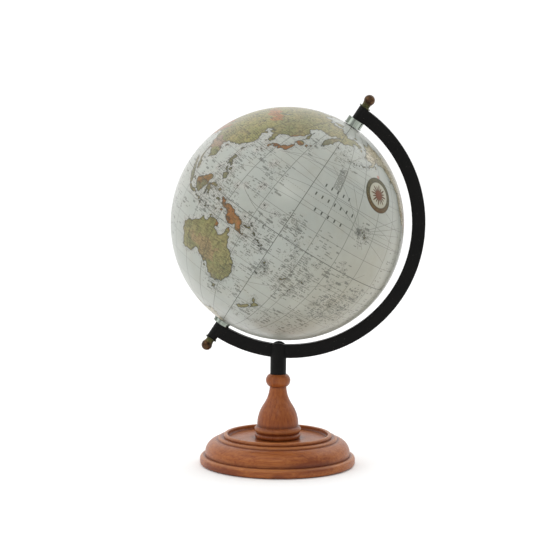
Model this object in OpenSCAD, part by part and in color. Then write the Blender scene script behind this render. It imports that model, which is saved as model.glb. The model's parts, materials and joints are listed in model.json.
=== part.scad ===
// Desktop globe on a turned wooden stand.
// The printed ball spins on a tilted axle held by a black arc, the arc sits in a forked post,
// and the post stands in a turned pillar on a dished base. Millimetres, +Z up. The origin is the
// centre of the underside, and +X points to the side the arc bulges towards.

/* [Globe] */
// Outside diameter of the ball, over its printed skin
globe_d = 203; // [170:1:260]
// Thickness of the printed paper skin
skin_t = 0.35; // [0.25:0.05:0.6]
// Wall thickness of the two half shells
shell_t = 2; // [1.5:0.1:4]
// Latitude at which the round polar papers end, in degrees
polar_paper_lat = 81; // [78:1:85]
// Lean of the axle from upright, in degrees
axis_tilt = 33; // [20:1:38]
// Sideways distance from the stand's centre line to the ball's centre
globe_x = 6.9; // [4:0.1:10]

/* [Arc] */
// Even part of the gap between the ball and the arc
arc_gap = 5.9; // [5:0.1:12]
// Sideways offset of the arc's own centre from the ball's centre
arc_shift_x = 0.9; // [0:0.1:1]
// Upward offset of the arc's own centre from the ball's centre
arc_shift_z = 1.2; // [0:0.1:1.5]
// Width of the arc bar, seen from the front
arc_band = 11.6; // [9:0.1:14]
// Depth of the arc bar, from front to back
arc_depth = 8; // [6:0.5:9]
// Diameter of the rounded eye at each end of the arc
eye_d = 8.8; // [8:0.2:12]
// How far the eyes stand out past the arc's outer edge
eye_proud = 2; // [2:0.1:5]

/* [Axle] */
// Diameter of the axle rod
axle_d = 5; // [4:0.5:6]
// Diameter of the metal collars between the ball and the arc
collar_d = 15.2; // [12:0.2:18]
// Diameter of the ball on each knob
knob_d = 9.5; // [8:0.1:12]
// Distance from an eye's outer end to the centre of a knob's ball
knob_reach = 7.5; // [7.5:0.1:10]
// Diameter of the thin washer under each knob
knob_washer_d = 10.4; // [9.8:0.2:14]

/* [Stand] */
// Height of the arc's underside above the table, on the stand's centre line
arc_seat_z = 94.9; // [90:0.1:110]
// Diameter of the forked post
post_d = 14; // [12:0.5:16]
// Largest diameter of the wooden base
base_d = 136.6; // [134:1:160]
// Height of the raised rim of the base
base_h = 27.2; // [26:0.2:30]
// Depth of the dish inside the rim
dish_depth = 4; // [3:0.2:5]
// Largest diameter of the pillar, at its bead
pillar_d = 41; // [40.5:0.5:44]
// Thickness of the felt under the base
felt_t = 1.5; // [1:0.25:3]

/* [Hidden] */
$fn = 96;
hair = 0.01;            // overlap that keeps joined solids one body
fit = 0.05;             // radial clearance of close fits

// ball
globe_r = globe_d / 2;
shell_or = globe_r - skin_t;
shell_ir = shell_or - shell_t;
gore_count = 12;
gore_step = 360 / gore_count;
polar_paper_r = globe_r * cos(polar_paper_lat);
shell_lip = 0.1;        // hairline between the two half shells
ring_h = 14;            // height of the joining ring inside the equator
ring_t = 1.6;
bushing_r = 5.5;
bushing_flange_r = 8;
bushing_flange_t = 1.5;

// arc
arc_ir = globe_r + arc_gap;
arc_or = arc_ir + arc_band;
arc_edge = 0.5;         // small bevel along the bar's edges
globe_z = arc_seat_z + sqrt(arc_or * arc_or - pow(globe_x + arc_shift_x, 2)) - arc_shift_z;
axis_x = sin(axis_tilt);
axis_z = cos(axis_tilt);
shift_along = arc_shift_x * axis_x + arc_shift_z * axis_z;
shift_across = arc_shift_x * axis_z - arc_shift_z * axis_x;
eye_r = eye_d / 2;
eye_boss = arc_ir - sqrt(arc_ir * arc_ir - collar_d * collar_d / 4) + 0.1;  // lifts a collar off the bar
upper_eye_in = shift_along + sqrt(arc_ir * arc_ir - pow(shift_across, 2));
lower_eye_in = sqrt(arc_ir * arc_ir - pow(shift_across, 2)) - shift_along;
eye_out = arc_or + eye_proud;   // both eyes end at the same distance from the ball's centre

// axle, collars and knobs
axle_r = axle_d / 2;
collar_r = collar_d / 2;
collar_run = 0.45;      // gap from the ball's pole to a collar
collar_lip_r = collar_r + 0.5;
collar_lip_h = 1.1;
collar_groove = 0.35;
washer_t = 0.8;
knob_r = knob_d / 2;
neck_r = 3.5;           // narrowest part of a knob
neck_h = 1.2;           // its height over the washer
knob_bore = 6.4;        // depth of the blind hole in a knob
axle_in_knob = 5.6;

// base, turned
felt_r = 58;
felt_sink = 1;
base_bottom = felt_t - felt_sink;
base_r = base_d / 2;
bulge_r = 3.3;          // round at the top of the foot moulding
bulge_z = base_bottom + 4.5;
heel_r = 1.8;           // smaller round at its bottom edge
shoulder_r = 11.5;
shoulder_top = base_h - 5.2;
shoulder_z = shoulder_top - shoulder_r;
shoulder_x = base_r - 4.6 - shoulder_r;
step_r = 2.7;           // quarter round between the shoulder and the rim
step_x = base_r - 18.2;
step_z = base_h - 5.6;
rim_r = 1.95;
rim_x = base_r - 22.6;
rim_z = base_h - rim_r;
dish_z = base_h - dish_depth;
dish_r = rim_x - 1.5;
cove_r = 1.6;
tie_d = 6;
tie_r = tie_d / 2;
tie_hole_r = tie_r + 0.3;
recess_r = 13;
recess_top = base_bottom + 9;
mortise_r = 9;
mortise_z = dish_z - 9;

// pillar, turned
bead_r = 3.2;
bead_x = pillar_d / 2 - bead_r;
bead_z = dish_z + 7.8;
foot_r = 2.35;
foot_x = bead_x + 0.4;
foot_z = dish_z + foot_r;
groove_r = bead_x + 1.6;
body_r = 32.2;          // radius of the bottle-shaped swell
body_x = bead_x - 31.3;
body_z = dish_z + 11.8;
neck_wood_r = 7.4;
neck_wood_z = dish_z + 46.8;
swell_a = neck_wood_r - body_x;
hollow_r = (pow(neck_wood_z - body_z, 2) - body_r * body_r + swell_a * swell_a) / (2 * (body_r - swell_a));
hollow_x = neck_wood_r + hollow_r;
meet = body_r / (body_r + hollow_r);
meet_x = body_x + (hollow_x - body_x) * meet;
meet_z = body_z + (neck_wood_z - body_z) * meet;
collar_ball_r = 6.3;
collar_ball_x = 4.5;
collar_ball_z = dish_z + 51.3;
pillar_top = collar_ball_z + 5.6;

// post
post_r = post_d / 2;
post_foot = pillar_top - 22;
post_dome_r = 8;
fork_top = arc_seat_z + arc_band + 1.8;
tap_depth = 16;

// ---- places -------------------------------------------------------------------------------

// the ball's frame: centre of the ball at the origin, its axle along +Z
module on_axle() {
    translate([globe_x, 0, globe_z]) rotate([0, axis_tilt, 0]) children();
}

// the lower half of the axle, looked at from the ball's centre outwards
module on_lower_axle() {
    on_axle() rotate([180, 0, 0]) children();
}

// a ring or tube along +Z
module tube(r_out, r_in, h) {
    difference() {
        cylinder(r = r_out, h = h);
        translate([0, 0, -1]) cylinder(r = r_in, h = h + 2);
    }
}

// ---- stand --------------------------------------------------------------------------------

// felt disc let into the underside
module felt_pad() {
    color([0.10, 0.20, 0.13]) cylinder(r = felt_r, h = felt_t);
}

// half section of the turned base
module base_section() {
    difference() {
        union() {
            // foot moulding, rounder at its top than at its bottom edge
            translate([base_r - bulge_r, bulge_z]) circle(r = bulge_r);
            translate([base_r - heel_r, base_bottom + heel_r]) circle(r = heel_r);
            translate([0, base_bottom]) square([base_r - heel_r, heel_r + hair]);
            translate([0, base_bottom + heel_r]) square([base_r, bulge_z - base_bottom - heel_r]);
            translate([0, bulge_z - hair]) square([base_r - bulge_r, bulge_r + hair]);
            // rounded shoulder
            translate([0, bulge_z]) square([shoulder_x + shoulder_r, shoulder_z - bulge_z]);
            intersection() {
                translate([shoulder_x, shoulder_z]) circle(r = shoulder_r);
                translate([0, bulge_z]) square([base_r, shoulder_top - bulge_z]);
            }
            translate([0, bulge_z]) square([shoulder_x, shoulder_top - bulge_z]);
            // quarter-round step and raised rim
            intersection() {
                translate([step_x, step_z]) circle(r = step_r);
                translate([0, step_z]) square([base_r, step_r]);
            }
            translate([0, bulge_z]) square([step_x, step_z + step_r - bulge_z]);
            translate([0, bulge_z]) square([step_x + step_r, step_z - bulge_z]);
            translate([rim_x, rim_z]) circle(r = rim_r);
            translate([0, bulge_z]) square([rim_x, base_h - bulge_z - 0.02]);
        }
        // dish, with a cove at its edge
        translate([-1, dish_z]) square([dish_r - cove_r + 1, base_h]);
        translate([-1, dish_z + cove_r]) square([dish_r + 1, base_h]);
        translate([dish_r - cove_r, dish_z + cove_r]) circle(r = cove_r);
        // the rim is round on its inner side too
        difference() {
            translate([dish_r - 1, rim_z]) square([rim_x - dish_r + 1, rim_r + 1]);
            translate([rim_x, rim_z]) circle(r = rim_r);
        }
    }
}

module base_disc() {
    color([0.50, 0.24, 0.12]) difference() {
        rotate_extrude() intersection() {
            base_section();
            square([base_r + 1, base_h + 1]);
        }
        translate([0, 0, -1]) cylinder(r = felt_r + fit, h = felt_t + 1);
        translate([0, 0, -1]) cylinder(r = recess_r, h = recess_top + 1);
        translate([0, 0, -1]) cylinder(r = tie_hole_r, h = base_h + 2);
        translate([0, 0, mortise_z]) cylinder(r = mortise_r + fit, h = base_h);
    }
}

// washer, nut and threaded rod that pull base, pillar and post together
module tie_washer() {
    color([0.62, 0.63, 0.65]) translate([0, 0, recess_top - 1.6])
        tube(9, tie_hole_r, 1.6);
}

module tie_nut() {
    color([0.60, 0.61, 0.63]) translate([0, 0, recess_top - 1.6 - 4.8]) difference() {
        cylinder(r = 5.77, h = 4.8, $fn = 6);
        translate([0, 0, -1]) cylinder(r = tie_r + fit, h = 7);
    }
}

module tie_rod() {
    rod_foot = recess_top - 7.2;
    color([0.58, 0.59, 0.61]) translate([0, 0, rod_foot])
        cylinder(r = tie_r, h = post_foot + tap_depth - 1 - rod_foot);
}

// half section of the turned pillar, without its bores
module pillar_section() {
    translate([foot_x, foot_z]) circle(r = foot_r);
    translate([bead_x, bead_z]) circle(r = bead_r);
    translate([0, dish_z + hair]) square([foot_x, 2 * foot_r]);
    translate([0, dish_z + foot_r]) square([groove_r, bead_z - dish_z - foot_r]);
    translate([0, bead_z]) square([bead_x + 0.6, body_z + 0.4 - bead_z]);
    // bottle-shaped swell
    intersection() {
        translate([body_x, body_z]) circle(r = body_r);
        translate([0, body_z - 1]) square([bead_x + bead_r, meet_z - body_z + 1]);
    }
    // hollow neck
    difference() {
        translate([0, meet_z - hair]) square([meet_x, neck_wood_z - meet_z]);
        translate([hollow_x, neck_wood_z]) circle(r = hollow_r);
    }
    // ring ball under the post
    translate([0, neck_wood_z - 1]) square([collar_ball_x, pillar_top - neck_wood_z + 1]);
    intersection() {
        translate([collar_ball_x, collar_ball_z]) circle(r = collar_ball_r);
        square([pillar_d, pillar_top]);
    }
    // tenon in the base
    translate([0, mortise_z + 0.5]) square([mortise_r, dish_z - mortise_z]);
}

module pillar() {
    color([0.50, 0.24, 0.12]) difference() {
        rotate_extrude() intersection() {
            pillar_section();
            square([pillar_d, pillar_top + 1]);
        }
        translate([0, 0, mortise_z - 1]) cylinder(r = tie_hole_r, h = pillar_top);
        translate([0, 0, post_foot - 0.5]) cylinder(r = post_r + fit, h = pillar_top);
    }
}

// solid post, forked at the top to hold the arc
module fork_post() {
    color([0.03, 0.03, 0.03]) difference() {
        intersection() {
            translate([0, 0, post_foot]) cylinder(r = post_r, h = fork_top - post_foot);
            union() {
                translate([0, 0, fork_top - post_dome_r]) rotate([90, 0, 0])
                    cylinder(r = post_dome_r, h = 2 * post_d, center = true);
                translate([-post_d, -post_d, post_foot - 1])
                    cube([2 * post_d, 2 * post_d, fork_top - post_dome_r - post_foot + 3]);
            }
        }
        // slot for the arc, its floor following the arc's outer edge
        intersection() {
            translate([-post_d, -arc_depth / 2 - fit, post_foot])
                cube([2 * post_d, arc_depth + 2 * fit, post_d * 5]);
            arc_frame() cylinder(r = arc_or + fit, h = 2 * arc_depth, center = true);
        }
        translate([0, 0, post_foot - 1]) cylinder(r = tie_r + fit, h = tap_depth + 1);
    }
}

// ---- arc ----------------------------------------------------------------------------------

// the arc's own centre, with the arc's flat plane as the XY plane and +X to the front's right
module arc_frame() {
    translate([globe_x + arc_shift_x, 0, globe_z + arc_shift_z]) rotate([90, 0, 0]) children();
}

// square bar section with small bevels
module bar_section() {
    x0 = arc_ir;
    x1 = arc_or;
    y = arc_depth / 2;
    polygon([[x0 + arc_edge, -y], [x1 - arc_edge, -y], [x1, -y + arc_edge], [x1, y - arc_edge],
             [x1 - arc_edge, y], [x0 + arc_edge, y], [x0, y - arc_edge], [x0, -y + arc_edge]]);
}

// round end of the bar, bored for the axle
module eye(from, to) {
    translate([0, 0, from - eye_boss]) cylinder(r = eye_r, h = to - from + eye_boss);
}

// half a ring on one side of the axle, with an eye at each end
module meridian_arc() {
    color([0.03, 0.03, 0.03]) difference() {
        union() {
            intersection() {
                arc_frame() rotate_extrude($fn = 240) bar_section();
                on_axle() translate([0, -arc_depth, -globe_d]) cube([globe_d, 2 * arc_depth, 2 * globe_d]);
            }
            on_axle() eye(upper_eye_in, eye_out);
            on_lower_axle() eye(lower_eye_in, eye_out);
        }
        on_axle() cylinder(r = axle_r + fit, h = 2 * eye_out + 10, center = true);
    }
}

// ---- axle ---------------------------------------------------------------------------------

module axle_rod() {
    half_run = eye_out + washer_t + axle_in_knob;
    color([0.66, 0.66, 0.68]) on_axle() cylinder(r = axle_r, h = 2 * half_run, center = true);
}

// turned collar from the ball's pole to the arc's eye
module collar(eye_in) {
    start = globe_r + collar_run;
    length = eye_in - eye_boss - start;
    color([0.82, 0.83, 0.83]) translate([0, 0, start]) difference() {
        union() {
            cylinder(r = collar_lip_r, h = collar_lip_h);
            translate([0, 0, collar_lip_h - hair]) cylinder(r = collar_r - collar_groove, h = 0.5);
            translate([0, 0, collar_lip_h + 0.4]) cylinder(r = collar_r, h = length - collar_lip_h - 0.4);
        }
        translate([0, 0, -1]) cylinder(r = axle_r + fit, h = arc_gap * 3);
    }
}

module upper_collar() { on_axle() collar(upper_eye_in); }
module lower_collar() { on_lower_axle() collar(lower_eye_in); }

module knob_washer() {
    color([0.16, 0.13, 0.08]) translate([0, 0, eye_out])
        tube(knob_washer_d / 2, axle_r + fit, washer_t);
}

module upper_knob_washer() { on_axle() knob_washer(); }
module lower_knob_washer() { on_lower_axle() knob_washer(); }

// turned knob: a neck that flares into a ball, screwed on the axle's end
module knob() {
    seat = eye_out + washer_t;
    ball_z = knob_reach - washer_t;
    flare_r = (pow(ball_z - neck_h, 2) - knob_r * knob_r + neck_r * neck_r) / (2 * (knob_r - neck_r));
    flare_x = neck_r + flare_r;
    touch = knob_r / (knob_r + flare_r);
    color([0.27, 0.19, 0.10]) translate([0, 0, seat]) difference() {
        rotate_extrude() intersection() {
            union() {
                translate([0, ball_z]) circle(r = knob_r);
                difference() {
                    square([flare_x * touch, ball_z + (neck_h - ball_z) * touch]);
                    translate([flare_x, neck_h]) circle(r = flare_r);
                }
            }
            square([knob_d, 3 * knob_d]);
        }
        translate([0, 0, -1]) cylinder(r = axle_r + fit, h = knob_bore + 1);
    }
}

module upper_knob() { on_axle() knob(); }
module lower_knob() { on_lower_axle() knob(); }

// ---- ball ---------------------------------------------------------------------------------

// hollow ball, cut to the half above the equator
module half_shell() {
    color([0.72, 0.71, 0.68]) difference() {
        sphere(r = shell_or);
        sphere(r = shell_ir);
        translate([0, 0, -globe_d / 2 + shell_lip / 2])
            cube([globe_d * 1.1, globe_d * 1.1, globe_d], center = true);
        cylinder(r = bushing_r + fit, h = globe_d);
    }
}

module north_shell() { on_axle() half_shell(); }
module south_shell() { on_lower_axle() half_shell(); }

// band glued inside the joint of the two half shells
module join_ring() {
    ring_or = sqrt(shell_ir * shell_ir - ring_h * ring_h / 4) - fit;
    color([0.60, 0.58, 0.52]) on_axle() translate([0, 0, -ring_h / 2])
        tube(ring_or, ring_or - ring_t, ring_h);
}

// plastic bushing in a pole, running on the axle
module bushing() {
    flange_z = sqrt(shell_ir * shell_ir - bushing_flange_r * bushing_flange_r) - fit;
    color([0.85, 0.85, 0.82]) difference() {
        union() {
            translate([0, 0, flange_z - bushing_flange_t])
                cylinder(r = bushing_flange_r, h = bushing_flange_t);
            cylinder_from(flange_z - hair, shell_or - 0.2);
        }
        cylinder(r = axle_r + fit, h = globe_d);
    }
}

module cylinder_from(z0, z1) {
    translate([0, 0, z0]) cylinder(r = bushing_r, h = z1 - z0);
}

module north_bushing() { on_axle() bushing(); }
module south_bushing() { on_lower_axle() bushing(); }

// round paper over the gore tips, with a hole for the axle
module polar_paper() {
    color([0.74, 0.73, 0.69]) intersection() {
        difference() {
            sphere(r = globe_r);
            sphere(r = shell_or);
        }
        tube(polar_paper_r - fit, axle_r + 0.4, globe_d);
    }
}

module north_polar_paper() { on_axle() polar_paper(); }
module south_polar_paper() { on_lower_axle() polar_paper(); }

// one printed gore: a lune of paper between two meridians, its tips under the polar papers' edge
module gore(number) {
    color([0.74, 0.73, 0.69]) on_axle() rotate([0, 0, number * gore_step]) intersection() {
        difference() {
            sphere(r = globe_r);
            sphere(r = shell_or);
            cylinder(r = polar_paper_r, h = globe_d * 1.1, center = true);
        }
        rotate_extrude(angle = gore_step) translate([0, -globe_r]) square([globe_d, globe_d]);
    }
}

module gore_01() { gore(0); }
module gore_02() { gore(1); }
module gore_03() { gore(2); }
module gore_04() { gore(3); }
module gore_05() { gore(4); }
module gore_06() { gore(5); }
module gore_07() { gore(6); }
module gore_08() { gore(7); }
module gore_09() { gore(8); }
module gore_10() { gore(9); }
module gore_11() { gore(10); }
module gore_12() { gore(11); }

felt_pad();
base_disc();
tie_washer();
tie_nut();
tie_rod();
pillar();
fork_post();
meridian_arc();
axle_rod();
upper_collar();
lower_collar();
upper_knob_washer();
lower_knob_washer();
upper_knob();
lower_knob();
north_shell();
south_shell();
join_ring();
north_bushing();
south_bushing();
north_polar_paper();
south_polar_paper();
gore_01();
gore_02();
gore_03();
gore_04();
gore_05();
gore_06();
gore_07();
gore_08();
gore_09();
gore_10();
gore_11();
gore_12();
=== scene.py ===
"""Looks of the desktop globe: a glossy printed ball, black arc and post, turned wood."""

import json
import math
import random

import bpy
import numpy as np
from mathutils import Matrix, Vector


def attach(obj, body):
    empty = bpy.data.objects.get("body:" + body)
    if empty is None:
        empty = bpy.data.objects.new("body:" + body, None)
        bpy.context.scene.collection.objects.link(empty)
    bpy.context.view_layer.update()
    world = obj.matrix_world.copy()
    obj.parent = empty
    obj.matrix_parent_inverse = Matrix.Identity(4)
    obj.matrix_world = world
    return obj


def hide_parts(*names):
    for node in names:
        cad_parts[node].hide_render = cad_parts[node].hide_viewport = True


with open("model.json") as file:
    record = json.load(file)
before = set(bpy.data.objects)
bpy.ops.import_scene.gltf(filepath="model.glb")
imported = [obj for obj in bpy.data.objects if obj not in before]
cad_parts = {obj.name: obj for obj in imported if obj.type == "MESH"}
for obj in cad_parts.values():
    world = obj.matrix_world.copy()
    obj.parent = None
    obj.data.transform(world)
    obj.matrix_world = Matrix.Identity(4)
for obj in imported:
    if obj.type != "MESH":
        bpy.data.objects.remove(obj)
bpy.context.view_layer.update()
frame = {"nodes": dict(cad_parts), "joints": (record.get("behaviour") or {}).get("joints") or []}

# ---- sizes, in metres ----

JOINT = frame["joints"][0]
CENTRE = Vector(JOINT["pos_m"])  # centre of the ball
AXIS = Vector(JOINT["axis"]).normalized()
BALL_R = 0.1015
PAPER_T = 0.00035  # thickness of the printed skin
AXLE_HOLE_R = 0.0029
CAP_LAT = 81.0  # the polar papers start here
FRONT_LON = 165.0  # meridian that faces the front at rest
GORE_DEG = 30

# the ball's own frame: Z along the axle, X towards the arc's belly
BALL_Z = AXIS
BALL_X = Vector((AXIS.z, 0, -AXIS.x))
BALL_Y = BALL_Z.cross(BALL_X)


def turn_of(lon):
    """Angle about the axle, from the ball's X, at which a meridian lies."""
    return math.radians(lon - FRONT_LON - 90)


def on_ball(lon, lat, radius=BALL_R):
    """Point on the ball at a longitude and latitude in degrees."""
    a, b = turn_of(lon), math.radians(lat)
    way = BALL_X * (math.cos(a) * math.cos(b)) + BALL_Y * (math.sin(a) * math.cos(b)) + BALL_Z * math.sin(b)
    return CENTRE + way * radius


def linear(*rgb):
    """Linear colour from an 8-bit screen colour."""
    out = []
    for v in rgb:
        v /= 255
        out.append(v / 12.92 if v <= 0.04045 else ((v + 0.055) / 1.055) ** 2.4)
    return (*out, 1)


# ---- node arithmetic ----

class Val:
    """A socket in a material's node tree, with arithmetic."""

    def __init__(self, tree, socket):
        self.tree, self.socket = tree, socket

    def math(self, operation, *others, clamp=False):
        n = self.tree.nodes.new("ShaderNodeMath")
        n.operation, n.use_clamp = operation, clamp
        for i, v in enumerate((self,) + others):
            feed(self.tree, v, n.inputs[i])
        return Val(self.tree, n.outputs[0])

    def __add__(self, o): return self.math("ADD", o)
    def __sub__(self, o): return self.math("SUBTRACT", o)
    def __mul__(self, o): return self.math("MULTIPLY", o)
    def __truediv__(self, o): return self.math("DIVIDE", o)
    def __rsub__(self, o): return (self * -1) + o
    def __neg__(self): return self * -1
    __radd__, __rmul__ = __add__, __mul__

    def abs(self): return self.math("ABSOLUTE")
    def sin(self): return self.math("SINE")
    def cos(self): return self.math("COSINE")
    def floor(self): return self.math("FLOOR")
    def wrap(self, low, high): return self.math("WRAP", high, low)
    def max(self, o): return self.math("MAXIMUM", o)
    def min(self, o): return self.math("MINIMUM", o)
    def below(self, edge, soft=0.0):
        """1 where the value is under edge, 0 over it, with a soft step."""
        if not soft:
            return self.math("LESS_THAN", edge)
        return ((self - edge) * (-1 / soft)).math("ADD", 0.5, clamp=True)
    def above(self, edge, soft=0.0): return 1 - self.below(edge, soft)


def feed(tree, value, socket):
    if isinstance(value, Val):
        tree.links.new(value.socket, socket)
    else:
        socket.default_value = value


class Graph:
    """A node tree whose nodes are made by calls."""

    def __init__(self, tree):
        self.tree = tree

    def node(self, kind, **props):
        n = self.tree.nodes.new(kind)
        for k, v in props.items():
            setattr(n, k, v)
        return n

    def out(self, n, name=0): return Val(self.tree, n.outputs[name])

    def attribute(self, name, output="Fac"):
        return self.out(self.node("ShaderNodeAttribute", attribute_name=name), output)

    def axis(self, vector, index):
        n = self.node("ShaderNodeSeparateXYZ")
        feed(self.tree, vector, n.inputs[0])
        return self.out(n, index)

    def vector(self, x, y, z):
        n = self.node("ShaderNodeCombineXYZ")
        for s, v in zip(n.inputs, (x, y, z)):
            feed(self.tree, v, s)
        return self.out(n)

    def vmath(self, operation, a, b=None, scale=None):
        n = self.node("ShaderNodeVectorMath", operation=operation)
        feed(self.tree, a, n.inputs[0])
        if b is not None:
            feed(self.tree, b, n.inputs[1])
        if scale is not None:
            feed(self.tree, scale, n.inputs["Scale"])
        return self.out(n, "Value" if operation in ("DOT_PRODUCT", "LENGTH") else "Vector")

    def noise(self, where, scale, detail=3.0, rough=0.5, warp=0.0, output="Fac"):
        n = self.node("ShaderNodeTexNoise")
        feed(self.tree, where, n.inputs["Vector"])
        n.inputs["Scale"].default_value = scale
        n.inputs["Detail"].default_value = detail
        n.inputs["Roughness"].default_value = rough
        n.inputs["Distortion"].default_value = warp
        return self.out(n, output)

    def cracks(self, where, scale):
        """Distance to the nearest edge between cells."""
        n = self.node("ShaderNodeTexVoronoi", feature="DISTANCE_TO_EDGE")
        feed(self.tree, where, n.inputs["Vector"])
        n.inputs["Scale"].default_value = scale
        return self.out(n, "Distance")

    def random(self, where):
        n = self.node("ShaderNodeTexWhiteNoise")
        feed(self.tree, where, n.inputs["Vector"])
        return self.out(n, "Value")

    def mix(self, factor, a, b):
        n = self.node("ShaderNodeMix", data_type="RGBA")
        feed(self.tree, factor, n.inputs["Factor"])
        feed(self.tree, a, n.inputs[6])
        feed(self.tree, b, n.inputs[7])
        return self.out(n, 2)

    def ramp(self, factor, *stops):
        n = self.node("ShaderNodeValToRGB")
        e = n.color_ramp.elements
        while len(e) < len(stops):
            e.new(0.5)
        for el, (pos, col) in zip(e, stops):
            el.position, el.color = pos, col
        feed(self.tree, factor, n.inputs[0])
        return self.out(n)


class Paint(Graph):
    """A material of its own, with the place on the object in at."""

    def __init__(self, name):
        self.mat = bpy.data.materials.new(name)
        self.mat.use_nodes = True
        super().__init__(self.mat.node_tree)
        self.bsdf = self.tree.nodes["Principled BSDF"]
        self.at = self.out(self.node("ShaderNodeTexCoord"), "Object")

    def bump(self, height, distance, strength=1.0):
        n = self.node("ShaderNodeBump")
        n.inputs["Strength"].default_value = strength
        n.inputs["Distance"].default_value = distance
        feed(self.tree, height, n.inputs["Height"])
        feed(self.tree, self.out(n, "Normal"), self.bsdf.inputs["Normal"])

    def set(self, **sockets):
        names = {"base": "Base Color", "rough": "Roughness", "metal": "Metallic", "coat": "Coat Weight",
                 "coat_rough": "Coat Roughness", "sheen": "Sheen Weight", "sheen_rough": "Sheen Roughness",
                 "specular": "Specular IOR Level", "spin": "Anisotropic"}
        for k, v in sockets.items():
            feed(self.tree, v, self.bsdf.inputs[names[k]])
        return self.mat


def dress(node, mat):
    """Gives a CAD node a material."""
    mesh = frame["nodes"][node].data
    mesh.materials.clear()
    mesh.materials.append(mat)


# ---- geography ----
# Coast outlines for a decorative globe: longitude and latitude in degrees, in turn.

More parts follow.
